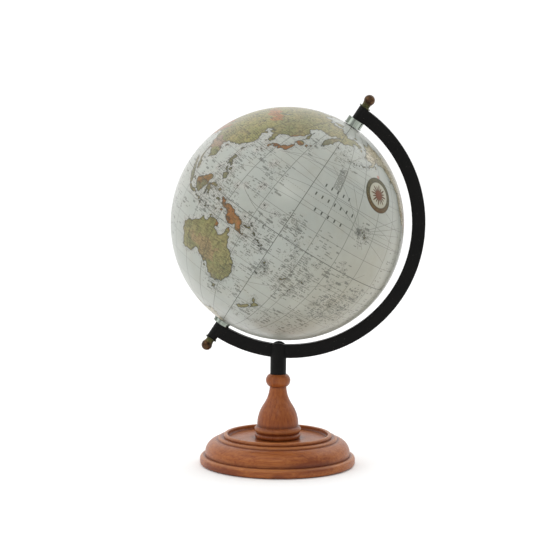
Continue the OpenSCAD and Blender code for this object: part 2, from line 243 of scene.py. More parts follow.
LAND = {
    "old_world": """190 66 187 64.3 181 65.5 177 64.6 179 62.3 174 61.7 170 60 166 60 163 59.8 161.5 58
        160.5 56 160.8 54.8 158 52.6 154.6 50.4 153.6 53.4 154.2 56.4 156 58 159 60.5 164 62.5 160 61.8
        156.5 61.5 155 59.5 151 59.3 148 59.3 143 59.3 140 57.5 137.5 54.2 141 53 140.5 50 140 48
        137.5 45.8 135.5 44.2 132.5 43.2 130.7 42.3 127.7 40 128.4 38.5 129.4 37 129.3 35.4 126.5 34.4
        126.5 36.7 125 38 125.3 39.5 121.3 38.8 121.5 40.7 117.7 39 119 37.3 122.5 37.3 119.3 35
        121.9 31.7 121.8 30 121.6 28.5 119.7 26 116.5 23 114 22.3 110.5 21.2 109.5 21.5 108 21.5
        105.8 19 107.5 16.7 109 14.5 109.3 12 107 10.4 105 8.7 104.8 10.3 102.5 12 100.9 13.3 100 13.3
        99.3 10 100.6 7.2 103.4 4.5 104.2 1.4 103.4 1.4 101.3 3 100.4 5.5 98.3 8 98.5 11 97.6 15.5
        95.3 15.8 94.3 18.5 92.3 20.8 91.8 22.5 89 21.7 87 21.4 86.5 20 82.3 16.6 80.2 15.5 79.8 10.3
        78 8.2 76.5 9 74.8 13 73 17.5 72.8 21 70.5 20.8 69 22.3 67.2 24.6 62 25.2 57.5 25.5 56.3 27
        52.5 27.5 48.5 30 48.2 29.4 50 26.7 51.3 24.4 54.5 24.3 56.3 26 56.6 24.4 59.8 22.5 57.8 19
        55 17.2 52 15.7 45 12.8 43.3 12.7 42.7 16.3 39.2 21 35 28 34.5 28 32.6 29.9 35.5 24 37.3 21
        37.3 18.8 39.5 15.5 43 12.5 43.3 11.5 51.2 11.9 49.8 8 47 4 42.5 -.5 39.7 -4 39.5 -8 40.6 -11
        40.6 -15 37 -18 34.8 -19.9 35.5 -23.8 32.8 -25.9 32.8 -28 30.5 -31 27 -33.6 22 -34 20 -34.8
        18.4 -34.2 18.2 -31.8 14.5 -22.5 12 -18 13.7 -12 13.2 -8.8 12 -5 9.3 -2 9.5 3.5 7 4.4 4.5 6.3
        1 6 -2 4.8 -4.5 5.2 -7.6 4.4 -13.3 9 -16.8 13 -17.4 14.7 -16.3 17.5 -17 21 -13 27.7 -9.7 29.8
        -9.8 31.5 -6.8 34 -5.9 35.8 -2 35.2 3 36.9 10 37.3 11 36.8 10.3 34.3 15.3 32.3 19 30.4 20 31
        21.7 32.9 25 31.6 32.3 31.2 34.3 31.3 35.8 35 36 36.8 32.5 36.1 28.2 36.7 26.3 38.3 26.2 40
        24 40.8 23 40.4 24 38 22.9 36.6 21.5 37.2 19.4 41 19.5 42 15.5 44 13.6 45.4 12.3 45.3 12.5 44
        14 42.5 18.4 40 17 40.5 16.6 38.5 15.8 40 12 42 8.8 44.4 7.5 43.8 3.2 43.2 3.2 42 .8 41 -.3 39.5
        -.8 37.7 -2.2 36.8 -5.3 36.1 -8.9 37 -9.4 38.7 -9 43.2 -1.8 43.4 -1.2 45 -2.5 47.3 -4.7 48.3
        -1.5 48.7 1.7 50.7 5 53.2 8.6 53.7 8.2 55.7 10.6 57.7 10.8 54.2 14 54.1 19.8 54.5 21.5 57.5
        24 57.2 23.7 59.2 30 59.9 22.8 60 21.3 61.5 25.3 65 22 65.6 17.3 61.5 19 59.8 16.3 56.7
        12.8 55.5 11.2 58.8 7 58 5.2 59.5 5 61.9 9.5 63.7 15.5 68.3 19.5 70 25.7 71.1 31 70.3 41.2 66.8
        33 66.7 35 64.4 38 64 40.5 65 44 66.2 46 68 54 68.5 60 69 67 71 72.5 72.8 73 68 79 72.3 87 75
        98 76.3 104.3 77.7 113.5 75.8 113 73.8 123 73 133 71.5 140 72.6 150 71.5 160 69.7 178 69.3
        185 67.3""",
    "north_america": """192 65.6 199 64.4 195 62.5 194 61.5 198 59 202.5 58.7 200 57 195.5 54.8 200 55.8
        206 58.5 208.5 60.5 212 60 216 60.3 221 59.8 223.5 58.2 227 56 229.8 54.3 232.5 52 236 49.5
        237.5 48.5 235.5 48.3 236 46 235.6 43 236 40.3 237.3 38 239.3 34.6 242.5 33.3 243.7 30.5 245 28
        248 25 250 23 249 25 247.3 29 245.3 31.7 247.7 30.8 251 26 254.3 21.8 255.5 19 260 16.7 265.7 16.1
        270 13.8 274 11.5 277.3 8.2 280 7.3 282.5 8.4 280.5 9.4 278 9 276.4 11 276.8 15 271.6 15.8
        273 21.5 270 21.2 269.3 18.7 265.7 18.1 263.8 19.3 262.2 22.5 262.8 27.8 265.5 29.4 270.8 29.6
        276 30 277.3 28.2 279.3 25.2 279.9 27 278.6 30.7 284.3 35.3 283.9 37.2 286 40.6 290 41.6
        289.3 43 293 44.8 294 43.6 299.5 46 295.5 47.5 291 48.2 293.5 50.2 300 50.2 304.3 52 302 55
        298.5 57 295.5 60.3 290.5 58.9 289.8 61.2 283 62.4 281.8 59 283.3 56.5 280.3 51.3 277.8 53
        277.6 55.2 272 57 265.3 59 265.5 61 270 63.5 273 65.5 277 66.3 274.5 69.3 262 68 250 68
        232 70 217 70 203.5 71.3 194 69 198 66.5""",
    "south_america": """281.6 8.6 284 10.8 288.2 12.2 288.4 10.9 292 10.7 298 10.7 303 6 308.3 5 310 0
        315.5 -2.7 320.3 -3 324.7 -5.3 325.2 -8 322.3 -12 321 -17.5 319 -22 314 -23.8 311.4 -26
        311 -28.7 307 -33.5 301.5 -34.3 303 -36.5 297.7 -39 295 -41.2 294.5 -45 292.5 -46 294 -48
        291 -51 294.8 -54.8 291 -55.5 286 -52.5 284.5 -48 286 -42 286.5 -37 288.4 -32 289.5 -25
        289.7 -18.5 284 -14.5 281 -8 278.8 -6 279.5 .8 281.5 2.5 282.6 5 282 7.3""",
    "australia": """142.5 -10.8 143.6 -14 145.4 -15 146.3 -19 149.5 -21 151.5 -23.5 153.4 -25.5 154.4 -28.5
        154.4 -31.5 152.6 -34.7 151 -38 147 -40 144.5 -39.8 140.8 -38.6 139.7 -36.3 137.8 -33 136 -34.8
        134 -33 131 -31.6 126 -32.3 123.5 -34 120 -34 118 -35 115.2 -34.2 115.8 -32 113.5 -26 113.8 -22.8
        116.5 -20.8 119.5 -20 122.2 -18 126.5 -14 129 -15 130.7 -12.4 132.7 -11.4 136.8 -12.2 135.5 -15
        139.3 -17.4 141 -16 141.7 -13""",
    "antarctica": """-181 -91 -181 -78 -165 -78 -150 -77 -130 -74 -100 -73 -75 -73 -62 -65 -57 -63.3 -61 -68
        -61 -75 -45 -78 -30 -77 -15 -73 0 -70 30 -69.5 50 -66.5 80 -68 95 -66.3 120 -66.8 140 -66.7
        160 -70 170 -72 165 -78 181 -78 181 -91""",
    "greenland": """287 78.2 293 76 305 73 307 69.5 306.5 67 309 63.5 315 60 318 62.5 322 65.5 334 68.3
        338 70.5 341 75 342 80 325 83.5 300 82 295 80.5""",
    "new_guinea": """131 -.8 134 -.8 135 -3.2 137.8 -1.6 141 -2.6 145 -4.2 147.8 -6 147.2 -7 148.5 -8.8
        150.8 -10.3 147.5 -10 144.5 -7.7 142.5 -9.2 139 -8.2 138 -7 138.3 -5.6 135 -4.4 133 -4 132.8 -2.8
        131.5 -1.5""",
    "borneo": """109.3 -.6 111.5 .2 113 .9 115.3 2.8 117.4 4.3 119.4 3.6 118.4 1.3 119 -1.2 117.6 -2.4
        116.8 -4.4 116 -6 112 -5.8 110.2 -4""",
    "sumatra": "94.8 6 97 5.6 99.8 3 102.6 .2 105.2 -3 105.8 -6 104.5 -5.8 102 -3.6 100 -1 98 1.7 96 3.9",
    "java": "105.2 -6.8 106.5 -6 108.5 -6.7 110.8 -6.5 112.7 -7 114.4 -7.8 114.5 -8.7 110 -8.1 106.5 -7.4",
    "timor": "123.5 -10.3 125 -9 127.2 -8.4 125 -9.8",
    "flores": "119 -8.8 120.5 -8.3 123 -8.3 122 -8.9",
    "sulawesi": """119.5 -5.5 119.6 -3 119 -2.7 119.8 .4 121 1.2 124.9 1.6 124 .4 120.4 .4 121.2 -1
        123.2 -.9 121.8 -2 122.8 -4.4 121.3 -4.4 120.8 -2.7 120.4 -5.5""",
    "luzon": "120.5 18.5 122.2 18.4 121.6 16 124 12.8 122.5 13.5 120.8 13.8 120 15.5",
    "mindanao": "122 7 123.5 8.6 125.5 9.8 126.5 7.5 125.5 5.7 124 6.8",
    "palawan": "117.3 8.3 119.6 11.2 119.2 10.2 117.8 8.5",
    "taiwan": "120.1 23 121.5 25.2 121.5 24 120.8 22",
    "hainan": "108.7 19 110.5 20 111 19.5 109.5 18.2",
    "honshu": """131 34 133 35.5 136 35.7 137 37.3 139 38 140 40 141 41.4 141.8 40 141.5 38.3 140.8 36
        139.8 35 137 34.6 135.8 33.5 135 34.6 132.5 34.2""",
    "kyushu": "129.8 33 131.8 33.5 131.3 31.3 130.2 31.2",
    "shikoku": "132.6 33.8 134.5 34.2 134 33.3 132.8 32.8",
    "hokkaido": "140 41.6 140.3 43.3 141.8 45.5 145.3 43.5 143.2 42 141 42.5",
    "sakhalin": "142 46 142 50 143 54.3 143.3 51 144.7 49 143 47",
    "north_nz": "172.7 -34.5 174.8 -36.8 178.5 -37.7 177 -39.6 175.2 -41.6 173.8 -39.3 174.8 -38",
    "south_nz": """172.8 -40.6 174.3 -41.7 172.7 -43.8 171 -45.9 168.5 -46.6 166.5 -45.8 168.5 -44
        171.3 -42.2""",
    "tasmania": "144.7 -42.4 148.3 -42.7 148 -44.7 146 -45.2",
    "new_britain": "148.4 -5.8 151.6 -4.4 152.3 -5 150 -6.3",
    "caledonia": "164 -20.2 166.9 -22.2 166.3 -22.4",
    "ceylon": "79.8 8 80.2 9.7 81.8 7.5 80.5 6",
    "madagascar": "49.3 -12 50.4 -15.7 47.2 -25 45 -25.5 43.5 -22.5 44.4 -16.3",
    "britain": """-5.5 50.1 1.2 51.2 1.7 52.7 -1.5 54.8 -2 57.5 -3.2 58.6 -5.8 58.5 -5 55.5 -3 54
        -5.2 51.8 -3 51.4""",
    "ireland": "-10 51.7 -6.3 52.2 -5.7 54.6 -8 55.3 -10 54.2",
    "iceland": "-24 65.5 -22.5 63.9 -18.5 63.4 -13.7 65 -15.5 66.4 -20 66",
    "baffin": "280 73.5 288 71.3 298 66.6 295 62.8 288 64.8 287 68 275 70 270 72",
    "victoria": "243 70 250 73 256 70 252 68.5",
    "banks": "235 72 240 74 243 72.5 238 71",
    "ellesmere": "270 77 282 76.3 297 82.5 270 82",
    "newfoundland": "300.8 47.7 307 46.7 306.8 48.5 304.4 51.5 302.5 50.5",
    "cuba": "275.2 22 280 23.1 285.7 20.2 282.5 19.9 281.5 20.8",
    "hispaniola": "285.6 18.5 286.7 19.9 290.2 19.6 291.6 18.6 288.5 17.7",
    "spitsbergen": "11 79 16 76.7 24 78.8 20 80.5",
    "novaya": "52 71 56 73.6 68 76.8 60 75.5 55 72.5",
    "sicily": "12.5 37.8 15.6 38.2 15.1 36.7",
    "sardinia": "8.3 39 9.6 39.2 9.3 41.2 8.4 40.8",
    "crete": "23.5 35.3 26.2 35.1 25 34.9",
}
WATER = {
    "black_sea": """28 43 29 41.3 32 41.2 35 42 38 41 41.5 41.7 39 44 36.5 45.2 34 44.5 33 46 30.5 46.3
        28.6 44""",
    "caspian": "47 42 49 38 50 37 53.5 37 53 40 51 44.5 53 46.8 49 46.3 47.5 44.5",
    "baikal": "104 51.5 106.5 52.5 109.8 55.5 108.5 53",
    "superior": "268 46.7 271 48.7 275 47.8 275.5 46.6 271 46.7",
    "huron": "272.2 41.8 272.3 44 275 46 279.5 45.8 278 43.3 276.5 45 273.8 43",
    "victoria_lake": "31.8 -.5 33 -2.5 34 -1 33.3 .3",
    "aral": "58.3 44 61 44 60.5 46.5 58.8 45.8",
}
# small islands: longitude, latitude, radius in degrees
ISLES = """115.2 -8.4 .4 116.4 -8.6 .4 118 -8.6 .7 120 -9.8 .6 124.3 -8.4 .4 127.6 .9 .8 129.4 -3 .7
    130.5 -3.2 .5 126.7 -3.3 .5 134.4 -6.2 .6 131.4 -7.5 .4 123 10.5 .6 124.8 11.4 .6 122.5 11.2 .6
    125.1 12.1 .6 124 10 .4 121.1 13 .5 106.4 -2.4 .7 107.9 -2.9 .4 98 1.2 .4 99.3 -2 .3 154.9 -6.1 .5
    155.6 -6.8 .4 157 -8.1 .4 158.3 -8 .4 159.3 -8.6 .3 160 -9.6 .5 161 -8.9 .4 161.8 -10.5 .3
    152.3 -3.8 .4 151.4 -3 .3 147 -2.1 .4 166.8 -15.2 .5 167.5 -16.3 .3 168.3 -17.7 .3 169.2 -19 .3
    178 -17.8 .6 179.4 -16.6 .5 187.5 -13.6 .4 188.3 -14 .3 185 -20 .3 184.8 -21.2 .3 204.5 19.6 .6
    203.6 20.8 .4 202.1 21.4 .35 200.5 22 .35 144.8 13.4 .3 145.7 15.1 .25 151.8 7.4 .25 158.2 6.9 .3
    163 5.3 .2 134.5 7.4 .3 138.1 9.5 .2 171.2 7.1 .2 169 8.9 .2 167.5 9.2 .2 173 1.4 .25 174.8 -1.2 .2
    176.5 -2 .2 179.2 -8.5 .2 176.3 -6.3 .2 210.5 -17.6 .35 208.6 -16.7 .25 200.2 -21.2 .25 202 -18.9 .2
    212.5 -15.2 .2 215 -16 .2 217 -17.5 .25 219.5 -18.4 .2 222 -21.5 .2 220 -9 .3 221 -10 .25
    220.8 -8.8 .2 210 -23.4 .2 212.3 -23.9 .2 202.6 1.9 .3 200.6 3.9 .2 188.5 -9.3 .2 202 -10 .2
    183.3 -3.7 .2 188 -2.8 .2 250.6 -27.1 .3 269 -.5 .5 270 -.8 .3 228 -24 .2 147.3 44.3 .6 149.4 45.7 .4
    151.8 47.2 .3 154.8 49.6 .3 156 50.5 .35 128 26.5 .35 129.4 28.3 .3 126.5 33.4 .4 128.8 34.4 .25
    142.1 27 .2 141.3 24.8 .2 193.5 53.8 .5 191.5 53.2 .45 188 52.4 .35 185 52 .3 183 51.8 .35 179 51.5 .3
    177 52 .25 173 52.8 .3 166.2 55.1 .4 206.4 57.4 .7 189 63.4 .7 194 60 .6 228 53.3 .9 233.8 50 .8
    235 49 .6 296 46.4 .6 282.5 18.1 .6 293.5 18.2 .5 299 14.6 .3 298.7 16 .3 299.5 10.4 .4 284.5 24 .4
    282 26.5 .4 286.2 21.5 .3 301.5 -51.7 .8 323 -54.3 .5 55.6 -21.2 .4 57.6 -20.3 .3 43.5 -11.7 .4
    70 -49.3 .6 92.8 12.5 .4 93 7.5 .3 73 4 .2 33 35 .5 -17 28.3 .4 -14 28.3 .35 -25.5 37.8 .3
    -23.7 15.2 .4 2.9 39.6 .45 9.2 42.2 .5 8.7 3.5 .35 18.5 57.5 .5 11.8 55.4 .6 300 76 1.6 262 73 2
    255 78.5 1.6 262 78 1.6 250 76 1.4 272 75.5 1.8 258 68.6 .8 277 64 1.4 143 75 1.6 148 75.2 1.5
    100 80 2 95 79 1.5 60 81 1.2 180.5 71 .8 172.5 -43.9 .2 166.2 -50.7 .25 172 -53 .2 137 -35.8 .5
    144 -39.8 .3 153.3 -25.2 .25 130.6 -11.5 .5 132 -11.5 .2 136.6 -13.9 .35 150.5 -9.4 .3 152.5 -9.8 .3
    153.6 -11.4 .3"""

# centres of the printed tints: longitude, latitude, tint
TINTS = """100 36 mustard 112 38 mustard 118 29 mustard 108 26 mustard 88 32 khaki 82 40 mustard
    92 43 khaki 124 46 olive 104 48.5 salmon 97 49 salmon 110 48.3 salmon 104 43.5 mustard 96 43 mustard
    112 43.5 mustard 100 62 khaki 120 62 khaki 135 64 khaki 150 64 khaki 104 54 khaki 96 55 mustard
    112 53.5 khaki 168 66 khaki 180 67 khaki 157 55 slate 128 52 olive 142 50 olive 120 55 khaki
    95 59 khaki 80 60 khaki 65 62 olive 70 50 mustard 60 55 tan 45 60 khaki 45 50 olive 30 55 salmon
    22 52 rust 15 50 mustard 4 48 khaki -4 40 rust 12 43 tan 20 45 olive 15 62 khaki 25 64 mustard
    10 60 salmon -2 53 salmon -8 53 khaki -18 65 tan 22 40 salmon 30 49 khaki 33 39 mustard 40 46 tan
    45 25 mustard 53 32 khaki 65 33 rust 68 28 tan 60 40 khaki 68 40 salmon 78 22 tan 75 30 khaki
    84 24 rust 96 22 olive 101 16 mauve 104 18 mauve 106 12 olive 104 22.5 olive 102 4 slate 126 38 olive
    138 37 rust 132 33.5 rust 142 43 rust 121 24 khaki 121 16 slate 125 8 slate 123 11 slate 114 1 umber
    117 5 umber 102 -1 slate 110 -7.5 slate 121 -2 slate 125 -9 slate 130 -3 slate 136 -3 rust 143 -6 rust
    148 -9 rust 139 -7 rust 150 -5 slate 156 -7 slate 160 -9 slate 167 -17 slate 178 -17 slate
    122 -22 khaki 132 -19 khaki 143 -18 khaki 146 -26 khaki 150 -32 olive 137 -27 tan 126 -26 tan
    124 -31 olive 117 -31 khaki 130 -14 khaki 145 -36 olive 147 -42 slate 175 -38 khaki 170 -44 khaki
    205 65 pale 215 62 pale 228 60 pale 245 62 pale 238 54 pale 260 56 khaki 262 65 pale 245 66 pale
    241 44 pale 250 42 tan 260 44 mustard 258 34 rust 270 40 khaki 275 34 tan 283 41 salmon 290 46 khaki
    295 53 olive 285 55 pale 280 49 tan 256 24 khaki 263 18 mustard 271 15 rust 277 10 olive 280 22 tan
    288 19 khaki 286 4 mustard 293 8 salmon 302 5 olive 300 -5 khaki 310 -8 mustard 318 -8 khaki
    312 -18 tan 282 -6 rust 285 -12 salmon 295 -17 olive 302 -23 rust 290 -25 tan 297 -30 khaki
    304 -33 salmon 293 -42 mustard 289 -48 tan 320 72 pale 315 64 pale 285 70 pale 260 74 pale 270 80 pale
    3 28 khaki -8 25 tan -5 16 mustard -12 12 rust -8 7 khaki 2 9 tan 8 9 salmon 15 15 olive 18 26 mustard
    28 27 khaki 30 15 tan 40 9 rust 46 7 mustard 20 7 khaki 12 4 olive 23 -2 mustard 37 0 salmon 33 -7 tan
    18 -12 khaki 28 -14 salmon 35 -15 olive 24 -22 mustard 18 -24 tan 30 -20 rust 25 -30 khaki
    47 -19 olive 81 7 rust 0 -80 pale 90 -78 pale 180 -84 pale -90 -80 pale"""

STEP = 0.5  # spacing of the map grid, in degrees
REACH = 3.0  # how far from a coast its distance is worked out
rng = random.Random(7)


def numbers(text):
    return [float(v) for v in text.split()]


def ragged(text):
    """A closed outline with its straight runs broken up into a natural coast."""
    v = numbers(text)
    corners = list(zip(v[::2], v[1::2]))
    out = []
    for a, b in zip(corners, corners[1:] + corners[:1]):
        run = [a, b]
        while math.dist(run[0], run[1]) > 0.8 and min(a[1], b[1]) > -85:
            finer = []
            for p, q in zip(run, run[1:]):
                s = rng.gauss(0, 0.13)
                finer += [p, ((p[0] + q[0]) / 2 - (q[1] - p[1]) * s, (p[1] + q[1]) / 2 + (q[0] - p[0]) * s)]
            run = finer + [b]
        out += run[:-1]
    return np.array(out)


class Field:
    """Signed distance to the nearest coast in degrees, positive on land, on a longitude by latitude grid."""
    WEST, EAST = -190, 370

    def __init__(self):
        self.lon = np.arange(self.WEST, self.EAST + STEP / 2, STEP)
        self.lat = np.arange(-90, 90 + STEP / 2, STEP)
        self.edge = np.full((len(self.lat), len(self.lon)), REACH)
        self.land = np.zeros(self.edge.shape, bool)

    def outline(self, points, water=False):
        inside = np.zeros_like(self.land)
        for (x0, y0), (x1, y1) in zip(points, np.roll(points, -1, axis=0)):
            low, high = min(y0, y1), max(y0, y1)
            rows = np.flatnonzero((self.lat > low) & (self.lat <= high))
            for r in rows:
                x = x0 + (x1 - x0) * (self.lat[r] - y0) / (y1 - y0)
                inside[r, np.searchsorted(self.lon, x):] ^= True
            rows = slice(*np.searchsorted(self.lat, (low - REACH, high + REACH)))
            wide = REACH / max(math.cos(math.radians(min(80, max(abs(low), abs(high)) + REACH))), 0.17)
            cols = slice(*np.searchsorted(self.lon, (min(x0, x1) - wide, max(x0, x1) + wide)))
            c = np.cos(np.radians(self.lat[rows]))[:, None]
            px, py = (self.lon[cols][None] - x0) * c, self.lat[rows][:, None] - y0
            vx, vy = (x1 - x0) * c, y1 - y0
            t = np.clip((px * vx + py * vy) / (vx * vx + vy * vy + 1e-9), 0, 1)
            d = np.hypot(px - t * vx, py - t * vy)
            self.edge[rows, cols] = np.minimum(self.edge[rows, cols], d)
        self.land = self.land & ~inside if water else self.land | inside

    def signed(self):
        """Folded to longitudes 0 to 360."""
        wide = np.where(self.land, self.edge, -self.edge)
        cols = round(360 / STEP)
        out = np.full((len(self.lat), cols + 1), -REACH)
        for shift in (-360, 0):
            start = round((shift - self.WEST) / STEP)
            first, last = max(0, start), min(start + cols + 1, wide.shape[1])
            part = out[:, first - start:last - start]
            np.maximum(part, wide[:, first:last], out=part)
        return out


def coasts():
    field = Field()
    for text in LAND.values():
        field.outline(ragged(text))
    for text in WATER.values():
        field.outline(ragged(text), water=True)
    out = field.signed()
    lon, lat = np.arange(0, 360 + STEP / 2, STEP)[None], field.lat[:, None]
    v = numbers(ISLES)
    for x, y, r in zip(v[::3], v[1::3], v[2::3]):
        dx = ((lon - x + 180) % 360 - 180) * np.cos(np.radians(lat))
        dy = lat - y
        way = np.arctan2(dy, dx)
        lobes = rng.choice((2, 3, 4))
        rim = r * (1 + 0.3 * np.sin(lobes * way + rng.uniform(0, 6)))
        out = np.maximum(out, rim - np.hypot(dx, dy))
    return out


PALETTE = {name: np.array(linear(*c)[:3]) for name, c in {
    "mustard": (133, 131, 78), "khaki": (130, 128, 82), "olive": (118, 119, 76), "tan": (138, 120, 84),
    "salmon": (154, 98, 50), "rust": (144, 80, 34), "umber": (120, 82, 38), "mauve": (144, 120, 106),
    "slate": (110, 110, 82), "pale": (190, 184, 162)}.items()}


def tints():
    """Tint of each grid point: that of the nearest centre, with wandering borders."""
    lon, lat = np.meshgrid(np.arange(0, 360 + STEP / 2, STEP), np.arange(-90, 90 + STEP / 2, STEP))
    wander = 1.5 * np.sin(lon * 0.35 + lat * 0.62) + 0.9 * np.sin(lon * 0.81 - lat * 0.53 + 2)
    drift = 1.5 * np.sin(lon * 0.57 - lat * 0.41 + 1) + 0.9 * np.sin(lon * 0.22 + lat * 1.03)
    x, y = lon + wander, lat + drift
    best = np.full(lon.shape, 1e9)
    out = np.zeros(lon.shape + (3,))
    words = TINTS.split()
    squeeze = np.cos(np.radians(lat))
    for a, b, name in zip(words[::3], words[1::3], words[2::3]):
        d = np.hypot(((x - float(a) + 180) % 360 - 180) * squeeze, y - float(b))
        near = d < best
        best = np.where(near, d, best)
        out[near] = PALETTE[name]
    return out


# ---- the printed skin ----

COAST, TINT = coasts(), tints()
INNER_DEG = 5  # width of the unseen faces under the skin


def ball_points(lons, lats, radius):
    a = np.radians(lons - FRONT_LON - 90)[None, :, None]
    b = np.radians(lats)[:, None, None]
    level = np.cos(a) * np.array(BALL_X) + np.sin(a) * np.array(BALL_Y)
    way = np.cos(b) * level + np.sin(b) * np.array(BALL_Z)
    return (np.array(CENTRE) + way * radius).reshape(-1, 3)


def skin(name, west, east, south, north, node, mat):
    """A closed sheet of the printed paper between two meridians and two parallels.
    Its vertices carry the distance to the coast and the tint printed there."""
    lons = np.arange(west, east + STEP / 2, STEP)
    lats = np.unique(np.round(np.r_[south, np.arange(math.ceil(south / STEP) * STEP, north, STEP), north], 6))
    whole = east - west >= 360
    if whole:
        lons = lons[:-1]
    skip = round(INNER_DEG / STEP)
    under = lons[::skip]
    rows, cols, ucols = len(lats), len(lons), len(under)
    spans = cols if whole else cols - 1
    uspans = ucols if whole else ucols - 1
    verts = np.vstack([ball_points(lons, lats, BALL_R), ball_points(under, lats, BALL_R - PAPER_T)])

    def top(r, c):
        return r * cols + c % cols

    def low(r, c):
        return rows * cols + r * ucols + c % ucols

    faces = [(top(r, c), top(r, c + 1), top(r + 1, c + 1), top(r + 1, c))
             for r in range(rows - 1) for c in range(spans)]
    shown = len(faces)
    faces += [(low(r, c), low(r + 1, c), low(r + 1, c + 1), low(r, c + 1))
              for r in range(rows - 1) for c in range(uspans)]
    for c in range(uspans):
        rim = range(c * skip, (c + 1) * skip + 1)
        faces.append((*(top(rows - 1, k) for k in rim), low(rows - 1, c + 1), low(rows - 1, c)))
        faces.append((*(top(0, k) for k in reversed(rim)), low(0, c), low(0, c + 1)))
    if not whole:
        for r in range(rows - 1):
            faces.append((top(r, 0), top(r + 1, 0), low(r + 1, 0), low(r, 0)))
            faces.append((top(r + 1, spans), top(r, spans), low(r, uspans), low(r + 1, uspans)))

    mesh = bpy.data.meshes.new(name)
    mesh.from_pydata(verts.tolist(), [], faces)
    col = np.round((np.r_[np.tile(lons, rows), np.tile(under, rows)] % 360) / STEP).astype(int)
    row = np.round((np.r_[np.repeat(lats, cols), np.repeat(lats, ucols)] + 90) / STEP).astype(int)
    mesh.attributes.new("coast", "FLOAT", "POINT").data.foreach_set("value", COAST[row, col])
    colour = np.c_[TINT[row, col], np.ones(len(row))]
    mesh.attributes.new("tint", "FLOAT_COLOR", "POINT").data.foreach_set("color", colour.ravel())

    # the shown face is shaded as exactly round, the edges as flat
    mesh.shade_smooth()
    corner = np.empty(len(mesh.loops), np.int32)
    mesh.loops.foreach_get("vertex_index", corner)
    sides = np.empty(len(faces), np.int32)
    mesh.polygons.foreach_get("loop_total", sides)
    flat = np.empty(len(faces) * 3, np.float32)
    mesh.polygons.foreach_get("normal", flat)
    face = np.repeat(np.arange(len(faces)), sides)
    way = verts - np.array(CENTRE)
    way /= np.linalg.norm(way, axis=1)[:, None]
    normals = np.where((face < shown)[:, None], way[corner], flat.reshape(-1, 3)[face])
    mesh.normals_split_custom_set(normals.tolist())
    ob = bpy.data.objects.new(name, mesh)
    bpy.context.scene.collection.objects.link(ob)
    mesh.materials.append(mat)
    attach(ob, "globe")
    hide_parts(node)
    return ob


# ---- the printed paper ----

DEG = 180 / math.pi
# sizes on the map are in degrees of arc
# the first sea colour is a warmer, darker tan used as painted shade
SEA_WARM_SHADE, SEA_COOL = linear(157, 155, 140), linear(163, 167, 160)
INK, LAND_INK = linear(48, 50, 42), linear(74, 68, 40)
ROSE = (208.5, 42.8)  # where the compass rose is printed
HUB = (199.5, 20.5)  # where the sailing routes meet
# where the small print is dense: longitude, latitude, radius and share of the cells that are filled
PRINT = [(153, -33, 4, 0.9), (124, 12, 7, 0.95), (127, 4, 7, 0.8), (145, 25, 7, 0.5), (146, 14, 7, 0.5),
         (130, -4, 12, 0.65), (155, -7, 11, 0.7), (169, 6, 7, 0.85), (157, -20, 8, 0.45), (168, -17, 5, 0.85),
         (182, -16, 11, 0.8), (178, -5, 10, 0.5), (200, -5, 9, 0.45), (212, -19, 12, 0.75), (219, -7, 6, 0.6),
         (146, -43, 6, 0.7), (158, -37, 7, 0.55), (183, -47, 9, 0.5), (112, -14, 9, 0.3), (185, 3, 9, 0.4),
         (202, 20, 5, 0.7), (150, 47, 6, 0.35), (128, 28, 8, 0.6), (176, 52, 8, 0.4), (200, -38, 12, 0.35),
         (340, 20, 60, 0.3), (70, 0, 45, 0.3), (260, -10, 40, 0.25)]
# sailing routes: from and towards a longitude and latitude, for this many degrees
ROUTES = [(*HUB, 231, 35, 32), (*HUB, 233, 31, 34), (*HUB, 233, 27, 34), (*HUB, 226, 21, 32),
          (*HUB, 222, 14, 26), (*HUB, 206, 14, 9), (*HUB, 203, 14, 8), (*HUB, 172, 42, 34),
          (*HUB, 190, 36, 22), (*HUB, 150, 34, 52), (121, 13, 165, 27.5, 100), (140, 34, 185, 47, 60),
          (140, 34, 200, 40, 80), (153, -33, 200, -8, 70), (176, -38, 220, -20, 60), (135, 14, 180, 18, 62)]
# ocean currents, each part of a ring: centre, radius, first and last longitude, and the side of its centre
# that it lies on, 1 for north and -1 for south
CURRENTS = [(150, 25, 19.8, 137, 164, -1), (156, 27, 24, 142, 158, -1), (205, -38, 24, 186, 224, -1),
            (212, -19, 6, 205, 219, -1), (212, -19, 9, 203, 218, -1), (215, 30, 33.3, 180, 202, 1)]
# rows of widely spaced bars across the ocean: latitude, first and last longitude
BARS = [(32.2, 171.8, 189), (26.0, 169.3, 193), (19.2, 173.0, 190)]
BAR_PITCH = 3.85
NOTES = (175.7, 180.4, 33, 45.6)  # the ladder-like block of notes: west, east, south, north
NOTE_ROW, NOTE_COLUMN = 0.66, 0.5  # size of its cells
COAST_ROW = 0.6  # spacing of the strokes beside the coasts
ROSE_RIM, ROSE_DISC, ROSE_HEART = 8.7, 6.4, 2.3  # radii in the compass rose
ROSE_CROWN = 9.6  # how far above its middle the small crown is


def toward(lon, lat):
    """Direction from the ball's centre to a place."""
    return (on_ball(lon, lat) - CENTRE).normalized()


def line(value, width, soft=0.09):
    """1 where a value is within half a width of zero."""
    return value.abs().below(width / 2, soft)


def comb(value, pitch):
    """How far a value is from the nearest multiple of the pitch."""
    return value.wrap(-pitch / 2, pitch / 2)


def cell(value, size):
    """Number of the cell that a value lies in."""
    return (value / size).floor()


